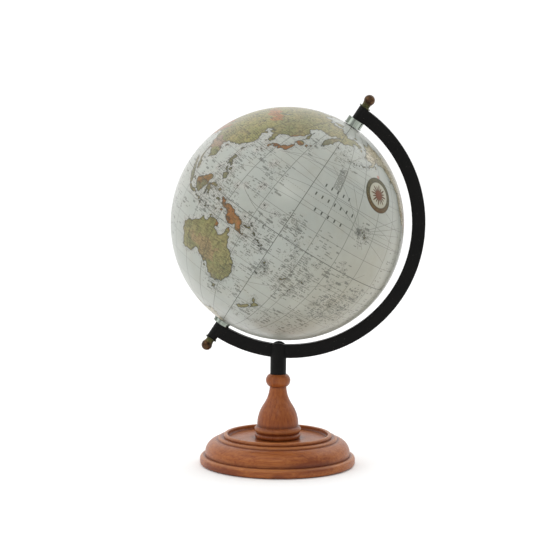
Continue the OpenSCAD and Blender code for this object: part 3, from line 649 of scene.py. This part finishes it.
class Map(Paint):
    """The printed map's material, which knows its place on the ball."""

    def __init__(self):
        super().__init__("printed_paper")
        self.way = self.vmath("NORMALIZE", self.vmath("SUBTRACT", self.at, CENTRE))
        rise = self.along(BALL_Z)
        turn = self.along(BALL_Y).math("ARCTAN2", self.along(BALL_X))
        self.lon = (turn * DEG + (FRONT_LON + 90)).wrap(0, 360)
        self.lat = rise.math("ARCSINE") * DEG
        self.squeeze = (1 - rise * rise).math("SQRT")  # of a degree of longitude
        self.coast = self.attribute("coast") + (self.noise(self.at, 420) - 0.5) * 0.6
        self.land = self.coast.above(0, 0.06)
        self.fine = self.noise(self.at, 900, detail=2)
        self.grain = self.noise(self.at, 420, detail=4, rough=0.75)

    def along(self, axis):
        return self.vmath("DOT_PRODUCT", self.way, axis)

    def far_from(self, lon, lat):
        """Degrees of arc from a place."""
        return self.along(toward(lon, lat)).math("ARCCOSINE") * DEG

    def between(self, west, east):
        return self.lon.above(west) * self.lon.below(east)


def sea_colour(m):
    """Cool to the west of the middle and a warmer, darker tan to the east as painted shade; mottled, paler
    over the shelves, and with a painted highlight above the middle.
    """
    # painted shade: the sea turns a warmer, darker tan round the lower right of the ball as it stands
    sea_shade = m.far_from(222, -12).below(34, 45) + m.noise(m.at, 12) * 0.7 - 0.35
    colour = m.mix(sea_shade.math("ADD", 0, clamp=True), SEA_COOL, SEA_WARM_SHADE)
    colour = m.mix(m.noise(m.at, 30, detail=4).above(0.55, 0.3) * 0.3, colour, linear(142, 146, 134))
    colour = m.mix(m.noise(m.at, 75, detail=4).above(0.55, 0.2) * 0.14, colour, linear(186, 184, 172))
    # painted highlight: a pale spot above the middle of the front, where the front light's glow falls
    colour = m.mix(m.far_from(157, 19.5).below(5, 9) * 0.45, colour, linear(186, 188, 178))
    shelf = m.coast.above(-1.6, 1.4) * m.far_from(120, 5).below(40, 20)
    return m.mix(shelf * 0.3, colour, linear(190, 184, 176))


def land_colour(m):
    """A mottled tint with dark speckle, a darker edge and rivers."""
    tint = m.attribute("tint", "Color")
    colour = m.mix(m.noise(m.at, 110).above(0.5, 0.3) * 0.3, tint, linear(166, 140, 96))
    elsewhere = m.vmath("ADD", m.at, Vector((1, 2, 3)))
    colour = m.mix(m.noise(elsewhere, 150).above(0.55, 0.2) * 0.35, colour, linear(112, 116, 74))
    colour = m.mix(m.grain.above(0.52, 0.12) * 0.42, colour, LAND_INK)
    colour = m.mix(line(m.coast - 0.25, 0.7, 0.5) * 0.35, colour, LAND_INK)
    bends = m.vmath("SCALE", m.noise(m.at, 90, output="Color"), scale=0.012)
    rivers = m.cracks(m.vmath("ADD", m.at, bends), 75).below(0.022, 0.02)
    return m.mix(rivers * 0.5, colour, LAND_INK)


def grid_ink_and_seam_shade(m):
    """Graticule, with the bold meridians where two sheets of the map meet, and a dark line of painted shade
    in the seam round each polar sheet.
    """
    lon, lat, squeeze = m.lon, m.lat, m.squeeze
    grid = (line(comb(lon, 15) * squeeze, 0.28) * 0.6).max(line(comb(lat, 10), 0.22) * 0.5)
    bold = line((lon - FRONT_LON) * squeeze, 0.3).max(line(lat, 0.32)) * 0.85
    seams = line((lon - 135) * squeeze, 0.34).max(line((lon - 225) * squeeze, 0.3)) * 0.62
    tropics = line(lat.abs() - 23.45, 0.2) * comb(lon, 1.4).abs().below(0.45) * 0.5
    dots = comb(lon, 0.9).abs().below(0.25) * m.between(150, 228)
    dotted = line(comb(lat - 38, 2.5), 0.18) * lat.above(37) * lat.below(44) * dots * 0.6
    dateline = line(lon - 187 + line(lat + 30, 24, 12) * 2.5, 0.28) * lat.below(-12) * lat.above(-52) * 0.5
    # painted shade: a dark line in the seam round each polar sheet
    cap_seam_shade = line(lat.abs() - CAP_LAT, 0.35) * 0.8
    return grid.max(bold).max(seams).max(tropics).max(dotted).max(dateline).max(cap_seam_shade)


def coast_ink(m):
    """Coast line, broken in places, and the short strokes that shade the water beside it."""
    shore = line(m.coast, 0.3) * (m.fine.above(0.38, 0.2) * 0.5 + 0.4)
    reach = m.random(m.vector(cell(m.lat, COAST_ROW), cell(m.lon, 1.3), 3.0)) * 3.0 - 0.4
    stroke = comb(m.lat, COAST_ROW).abs().below(0.1, 0.08)
    return shore.max(stroke * (1 - m.land) * (m.coast + reach).above(0) * 0.72)


def small_print_ink(m):
    """Words of two sizes, as runs of uneven ticks set unevenly on their rows, and crumbs of ink by them."""
    where = m.land * 0.5
    for lon, lat, radius, share in PRINT:
        where = where.max(m.far_from(lon, lat).below(radius, 5) * share)

    def words(row_height, word_width, pitch, seed, share):
        row, word = cell(m.lat, row_height), cell(m.lon, word_width)
        chance, size, lift = (m.random(m.vector(row, word, seed + k)) for k in range(3))
        tick = m.random(m.vector(row, cell(m.lon, pitch), seed + 3))
        run = (m.lon - word * word_width).below((size * 0.62 + 0.33) * word_width)
        tall = (tick * 0.17 + 0.13) * row_height
        at_row = comb(m.lat - row_height / 2, row_height) + (lift - 0.5) * (row_height * 0.3)
        stem = comb(m.lon, pitch).abs().below(pitch * 0.33, pitch * 0.3)
        return (at_row.abs() - tall).below(0, 0.14) * stem * run * chance.below(where * share)

    small = words(row_height=1.05, word_width=2.9, pitch=0.22, seed=4.0, share=0.85) * 0.8
    large = words(row_height=2.1, word_width=4.6, pitch=0.46, seed=20.0, share=0.26) * 0.85
    crumbs = m.noise(m.at, 640, rough=0.7).above(0.59, 0.05)
    clusters = m.noise(m.at, 150, detail=2).above(0.49, 0.1)
    return small.max(large).max(crumbs * clusters * where.above(0.45, 0.4) * 0.85)


def notes_ink(m):
    """The rows of bars across the ocean, and the ladder-like block of notes."""
    west, east, south, north = NOTES
    tall = m.lat.above(south) * m.lat.below(north)
    note = m.random(m.vector(cell(m.lat, NOTE_ROW), cell(m.lon, NOTE_COLUMN), 2.0))
    rungs = comb(m.lat - NOTE_ROW / 2, NOTE_ROW).abs().below(0.2, 0.1)
    gaps = comb(m.lon - NOTE_COLUMN / 2, NOTE_COLUMN).abs().below(0.2, 0.1)
    ink = m.between(west, east) * tall * rungs * gaps * note.above(0.15) * 0.75
    ink = ink.max(line(m.lon - west, 0.2).max(line(m.lon - east, 0.2)) * tall * 0.6)
    for lat, first, last in BARS:
        bars = line(comb(m.lon - first, BAR_PITCH), 0.75, 0.15) * line(m.lat - lat, 1.7, 0.3)
        ink = ink.max(bars * m.between(first - 1.9, last + 1.2) * 0.9)
    return ink


def routes_ink(m):
    """Sailing routes along great circles, the knot where they meet, and the ocean currents."""
    ink = m.far_from(*HUB).below(1.6, 1.4) * m.grain.above(0.42, 0.2) * 0.8
    for lon0, lat0, lon1, lat1, length in ROUTES:
        start, end = toward(lon0, lat0), toward(lon1, lat1)
        across = start.cross(end).normalized()
        ahead = (end - start * end.dot(start)).normalized()
        whole = line(m.along(across) * DEG, 0.17) * m.along(ahead).above(0)
        ink = ink.max(whole * m.far_from(lon0, lat0).below(length) * 0.6)
    for lon, lat, radius, first, last, side in CURRENTS:
        ring = line(m.far_from(lon, lat) - radius, 0.22) * m.between(first, last)
        ink = ink.max(ring * ((m.lat - lat) * side).above(0) * 0.6)
    return ink


def with_rose(m, base):
    """Compass rose over a colour: a ring, a pale disc, a star of sixteen rays, and a crown above."""
    heart = toward(*ROSE)
    poleward = (BALL_Z - heart * BALL_Z.dot(heart)).normalized()
    up, right = m.along(poleward) * DEG, m.along(poleward.cross(heart)) * DEG
    # the 90 keeps a second rose off the far side of the ball
    out = (up * up + right * right).math("SQRT") + m.along(heart).below(0) * 90
    turn = right.math("ARCTAN2", up)
    band = m.mix(up.below(-4, 8), linear(46, 44, 6), linear(74, 44, 4))
    base = m.mix(out.below(ROSE_RIM, 0.2), base, band)
    base = m.mix(m.fine.above(0.5, 0.2) * line(out - 7.5, 1.4, 0.5) * 0.3, base, linear(128, 114, 60))
    base = m.mix(out.below(ROSE_DISC, 0.25), base, linear(160, 158, 140))
    rays = (turn * 8).cos().abs()
    edge = rays * rays * 2.7 + (turn * 4).cos().abs() * 0.9 + 1.7
    base = m.mix((out - edge).below(0, 0.3), base, linear(76, 46, 8))
    base = m.mix(out.below(ROSE_HEART, 1.2) * 0.6, base, linear(112, 50, 10))
    rims = line(out - ROSE_DISC, 0.3, 0.2).max(line(out - ROSE_RIM, 0.3, 0.2))
    base = m.mix(rims * 0.7, base, LAND_INK)
    rise = up - ROSE_CROWN
    crown = (rise * rise + right * right).math("SQRT").below(0.9, 0.3) * out.below(20)
    return m.mix(crown * 0.8, base, linear(160, 104, 88))


def printed_paper():
    m = Map()
    base = m.mix(m.land, sea_colour(m), land_colour(m))
    # painted highlight: the map pales towards the north pole, at the top of the ball
    base = m.mix(m.lat.above(81, 14) * 0.4, base, linear(222, 221, 212))  # paler towards the pole
    # the ink mask also carries the painted shade in the seam round each polar sheet
    ink = grid_ink_and_seam_shade(m).max(coast_ink(m)).max(small_print_ink(m)).max(notes_ink(m)).max(routes_ink(m))
    base = with_rose(m, m.mix(ink, base, INK))
    yellowing = m.noise(m.at, 55, detail=5, rough=0.65).above(0.58, 0.2)
    base = m.mix(yellowing * 0.12, base, linear(132, 118, 84))
    furrow = line(comb(m.lon, GORE_DEG) * m.squeeze, 0.5, 0.3)  # where two gores meet
    m.bump(m.fine * 0.35 + m.noise(m.at, 160, detail=2) * 0.8 - furrow * 0.8, 0.00004)
    rough = m.noise(m.at, 70, detail=4) * 0.12 + 0.3
    coat_rough = m.noise(m.at, 25) * 0.12 + 0.16
    return m.set(base=base, rough=rough, coat=0.3, coat_rough=coat_rough, specular=0.25)


# ---- other materials ----

KNOB_NECK = 125.0  # distance from the ball's centre at which a knob's neck ends, mm


def wood(name, grain_axis, light, mid, dark, groove_shade, edge_highlights, patches):
    """Turned hardwood under satin lacquer, with its grain along an axis of the frame.

    Painted shade darkens each groove and a painted highlight lightens each outer edge, each ring given by
    radius, height and reach in millimetres. The dark patches are given by place and by half-width each way.
    """
    p = Paint(name)
    stretch = [1.0, 1.0, 1.0]
    stretch[grain_axis] = 0.05
    along = p.vmath("MULTIPLY", p.at, Vector(stretch))
    sides = [i for i in range(3) if i != grain_axis]
    # growth rings round a heart that lies well outside the piece
    a = p.axis(along, sides[0]) + 0.11
    b = p.axis(along, sides[1]) - 0.33
    ring = (a * a + b * b).math("SQRT") + (p.noise(along, 14, detail=3, warp=0.4) - 0.5) * 0.012
    bands = (ring * 1900).sin() * 0.5 + 0.5
    streak = p.noise(along, 520, detail=5, rough=0.72)
    broad = p.noise(along, 75, detail=4)
    shade = bands * 0.05 + streak * 0.95 + broad * 0.3 - 0.15
    colour = p.ramp(shade, (0.2, dark), (0.44, mid), (0.74, light))
    pore = p.noise(along, 2300, detail=2).above(0.6, 0.08)
    colour = p.mix(pore * 0.4, colour, dark)
    rough_edge = (p.noise(along, 160, detail=4, rough=0.6) - 0.5) * 1.6
    # dark patches, low on the front of the base and on the right side of the pillar
    for middle, half in patches:
        off = p.vmath("DIVIDE", p.vmath("SUBTRACT", p.at, Vector(middle) / 1000), Vector(half) / 1000)
        patch = (p.vmath("LENGTH", off) + rough_edge).below(0.9, 0.7)
        colour = p.mix(patch * 0.72, colour, linear(104, 46, 26))
    x, y, z = (p.axis(p.at, i) for i in range(3))
    radius = (x * x + y * y).math("SQRT")
    # painted shade darkens each groove and a painted highlight lightens each outer edge, as rings about the
    # upright axis
    for turnings, share, painted_light in ((edge_highlights, 0.25, linear(212, 152, 98)), (groove_shade, 0.65, linear(84, 34, 16))):
        for r, h, reach in turnings:
            across, above = radius - r / 1000, z - h / 1000
            near = (across * across + above * above).math("SQRT")
            colour = p.mix(near.below(reach / 2000, reach / 1000) * share, colour, painted_light)
    p.bump(streak * 0.5 - pore, 0.00005)
    rough = streak * 0.14 + pore * 0.2 + 0.3
    return p.set(base=colour, rough=rough, coat=0.12, coat_rough=0.22, specular=0.22)


def black_paint():
    p = Paint("black_paint")
    cloud = p.noise(p.at, 60, detail=4)
    colour = p.ramp(cloud, (0.3, linear(8, 8, 8)), (0.7, linear(16, 15, 14)))
    chip = p.noise(p.at, 900, detail=2).above(0.73, 0.03)
    colour = p.mix(chip * 0.6, colour, linear(86, 82, 76))
    p.bump(p.noise(p.at, 1300, detail=2) * 0.4 + p.noise(p.at, 300) - chip * 0.5, 0.00004)
    return p.set(base=colour, rough=cloud * 0.2 + 0.38, specular=0.12)


def antique_brass():
    """Brown-patinated brass, olive near the arc where it has not been handled."""
    p = Paint("antique_brass")
    patina = p.noise(p.at, 260, detail=5, rough=0.65)
    spots = p.noise(p.at, 700, detail=3)
    colour = p.ramp(patina, (0.38, linear(40, 27, 20)), (0.52, linear(82, 56, 38)),
                    (0.68, linear(112, 88, 56)))
    reach = p.vmath("LENGTH", p.vmath("SUBTRACT", p.at, CENTRE)) * 1000
    green = p.ramp(patina, (0.36, linear(40, 42, 24)), (0.62, linear(84, 82, 50)))
    colour = p.mix(reach.below(KNOB_NECK, 2.5), colour, green)
    colour = p.mix(spots.above(0.55, 0.1) * 0.6, colour, linear(40, 40, 25))
    p.bump(patina * 0.7 + spots * 0.5, 0.00005)
    metal = 0.9 - spots.above(0.56, 0.2) * 0.5
    return p.set(base=colour, metal=metal, rough=patina * 0.3 + 0.24, specular=0.3)


def turned_metal(name, colour, tint, rough, ring_axis, pitch, reflection_bands=0.0):
    """Bright metal with fine lathe rings about the part's own axis, and painted reflection as dark bands
    along it.
    """
    p = Paint(name)
    place = p.vmath("SUBTRACT", p.at, CENTRE)
    along = p.vmath("DOT_PRODUCT", place, ring_axis)
    ring = p.noise(p.vector(along * 1000, 0.0, 0.0), pitch, detail=3)
    cloud = p.noise(p.at, 120, detail=4)
    shade = p.mix(ring * 0.5 + cloud * 0.4 - 0.2, colour, tint)
    if reflection_bands:
        # painted reflection: darker bands running along the axis, set by the angle round it
        off_axis = p.vmath("SUBTRACT", place, p.vmath("SCALE", ring_axis, scale=along))
        streak = p.noise(p.vmath("NORMALIZE", off_axis), 2.3, detail=3)
        shade = p.mix(streak.above(0.5, 0.14) * reflection_bands, shade, linear(70, 76, 66))
    smear = p.noise(p.at, 500, detail=3)
    p.bump(ring, 0.00003, 0.6)
    return p.set(base=shade, metal=1.0, rough=ring * 0.12 + smear * 0.12 + rough, spin=0.4)


def felt():
    p = Paint("felt")
    fibre = p.noise(p.at, 1500, detail=4, rough=0.7, warp=1.5)
    colour = p.ramp(fibre, (0.35, linear(26, 38, 28)), (0.68, linear(58, 78, 58)))
    p.bump(fibre + p.noise(p.at, 300), 0.0002)
    return p.set(base=colour, rough=fibre * 0.1 + 0.88, sheen=0.6, sheen_rough=0.5, specular=0.2)


def plastic(name, dark, light, rough):
    """Moulded plastic with flow marks and a fine spark finish."""
    p = Paint(name)
    flow = p.noise(p.at, 45, detail=3, warp=1.2)
    colour = p.ramp(flow, (0.3, dark), (0.72, light))
    p.bump(p.noise(p.at, 2200, detail=1) + flow * 0.6, 0.00003)
    return p.set(base=colour, rough=p.noise(p.at, 240, detail=3) * 0.14 + rough)


paper = printed_paper()
for number in range(1, 360 // GORE_DEG + 1):
    east = FRONT_LON + 90 + GORE_DEG * number
    skin(f"gore_paper_{number:02d}", east - GORE_DEG, east, -CAP_LAT, CAP_LAT, f"gore_{number:02d}", paper)
hole_lat = math.degrees(math.acos(AXLE_HOLE_R / BALL_R))
skin("north_polar_sheet", 0, 360, CAP_LAT, hole_lat, "north_polar_paper", paper)
skin("south_polar_sheet", 0, 360, -hole_lat, -CAP_LAT, "south_polar_paper", paper)

# both woods get painted shade in each groove and a painted highlight on each outer edge
base_wood = wood(
    "base_wood", 0, linear(178, 110, 56), linear(146, 80, 38), linear(108, 52, 24),
    groove_shade=[(63.7, 8.2, 3), (52.9, 22, 2.4), (48.4, 24.3, 2.6), (43.6, 23.4, 2), (20.5, 23.2, 5)],
    edge_highlights=[(45.7, 27.2, 2.2), (52, 23.8, 1.6), (66.5, 7.8, 2.4)],
    patches=[((34, -56, 10), (25, 30, 6)), ((-47, -50, 2), (25, 30, 5)), ((6, -68, 2), (8, 20, 2))])
pillar_wood = wood(
    "pillar_wood", 2, linear(166, 96, 46), linear(140, 74, 34), linear(106, 50, 23),
    groove_shade=[(18, 27.9, 3), (18, 34.4, 2.6), (7.4, 69.6, 2.4)], edge_highlights=[(20.5, 31, 2)],
    patches=[((17, 2, 40), (6, 8, 20))])
black, brass = black_paint(), antique_brass()
collar_metal = turned_metal("collar_metal", linear(168, 176, 166), linear(124, 132, 122), 0.06, AXIS, 3.0,
                            reflection_bands=0.7)
axle_metal = turned_metal("axle_metal", linear(190, 190, 186), linear(132, 130, 126), 0.26, AXIS, 2.0)
zinc = turned_metal("zinc_metal", linear(196, 200, 206), linear(140, 146, 156), 0.3, Vector((0, 0, 1)), 1.5)
shell = plastic("shell_plastic", linear(188, 186, 180), linear(214, 212, 206), 0.42)
ring = plastic("ring_plastic", linear(52, 52, 54), linear(70, 70, 72), 0.45)
bush = plastic("bushing_plastic", linear(200, 198, 190), linear(224, 222, 214), 0.35)
for look, nodes in (
        (felt(), "felt_pad"), (base_wood, "base_disc"), (pillar_wood, "pillar"),
        (zinc, "tie_washer tie_nut tie_rod"), (black, "fork_post meridian_arc"), (axle_metal, "axle_rod"),
        (collar_metal, "upper_collar lower_collar"),
        (brass, "upper_knob_washer lower_knob_washer upper_knob lower_knob"),
        (shell, "north_shell south_shell"), (ring, "join_ring"), (bush, "north_bushing south_bushing")):
    for node in nodes.split():
        dress(node, look)

# ---- studio ----

FLOOR_SIZE = 60.0  # metres
scene = bpy.context.scene
world = bpy.data.worlds.new("studio")
scene.world = world
world.use_nodes = True
# a white sweep behind and above, a bright wall on the left, and a dim room in front
sky = Graph(world.node_tree)
toward_sky = sky.out(sky.node("ShaderNodeTexCoord"), "Generated")
across, depth, height = (sky.axis(toward_sky, i) for i in range(3))
sweep, wall = (depth + 0.15).max(0) * 0.75, (-across).max(0) * 0.44
ceiling, room = height.max(0) * height.max(0) * 0.9, 0.36
glow = sweep + wall + ceiling + room
background = sky.tree.nodes["Background"]
background.inputs["Color"].default_value = (1, 1, 1, 1)
feed(sky.tree, glow, background.inputs["Strength"])
scene.view_settings.view_transform = "Standard"


def soft_light(name, aim, azimuth, elevation, distance, size, watts):
    """A square soft box round the part, facing it."""
    data = bpy.data.lights.new(name, "AREA")
    data.size, data.energy = size, watts
    a, e = math.radians(azimuth), math.radians(elevation)
    back = Vector((math.sin(a) * math.cos(e), -math.cos(a) * math.cos(e), math.sin(e)))
    ob = bpy.data.objects.new(name, data)
    ob.location = Vector(aim) + back * distance
    ob.rotation_euler = (-back).to_track_quat("-Z", "Y").to_euler()
    scene.collection.objects.link(ob)


# name, azimuth and elevation in degrees, distance and size in metres, power in watts
for name, azimuth, elevation, distance, size, watts in (
        ("left_box", -60, 35, 1.6, 1.4, 4.1), ("front_box", 3, 36, 1.8, 0.45, 2),
        ("right_box", 104, 26, 1.5, 1.0, 1.2), ("back_box", 130, 42, 1.5, 1.0, 3.4)):
    soft_light(name, CENTRE, azimuth, elevation, distance, size, watts)

half = FLOOR_SIZE / 2
mesh = bpy.data.meshes.new("floor")
mesh.from_pydata([(-half, -half, 0), (half, -half, 0), (half, half, 0), (-half, half, 0)], [], [(0, 1, 2, 3)])
floor = bpy.data.objects.new("floor", mesh)
scene.collection.objects.link(floor)
p = Paint("floor_paper")
pale = p.ramp(p.noise(p.at, 3), (0, (0.96, 0.96, 0.96, 1)), (1, (0.98, 0.98, 0.98, 1)))
mesh.materials.append(p.set(base=pale, rough=0.9))

# ---- camera ----

AIM = Vector((0.0009, 0, 0.163))  # the point at the middle of the picture
AZIMUTH, ELEVATION, ROLL = (math.radians(v) for v in (4.17, 6.61, 0.5))
DISTANCE, LENS = 1.776, 130.7  # metres and millimetres
level = Vector((math.cos(AZIMUTH), math.sin(AZIMUTH), 0))
ahead = Vector((-math.sin(AZIMUTH), math.cos(AZIMUTH), 0))
back = Vector((0, 0, 1)) * math.sin(ELEVATION) - ahead * math.cos(ELEVATION)
upright = back.cross(level)
right = level * math.cos(ROLL) + upright * math.sin(ROLL)
up = upright * math.cos(ROLL) - level * math.sin(ROLL)
camera = bpy.data.objects.new("camera", bpy.data.cameras.new("camera"))
camera.data.lens = LENS
turn = Matrix((right, up, back)).transposed()
camera.matrix_world = Matrix.Translation(AIM + back * DISTANCE) @ turn.to_4x4()
scene.collection.objects.link(camera)
scene.camera = camera
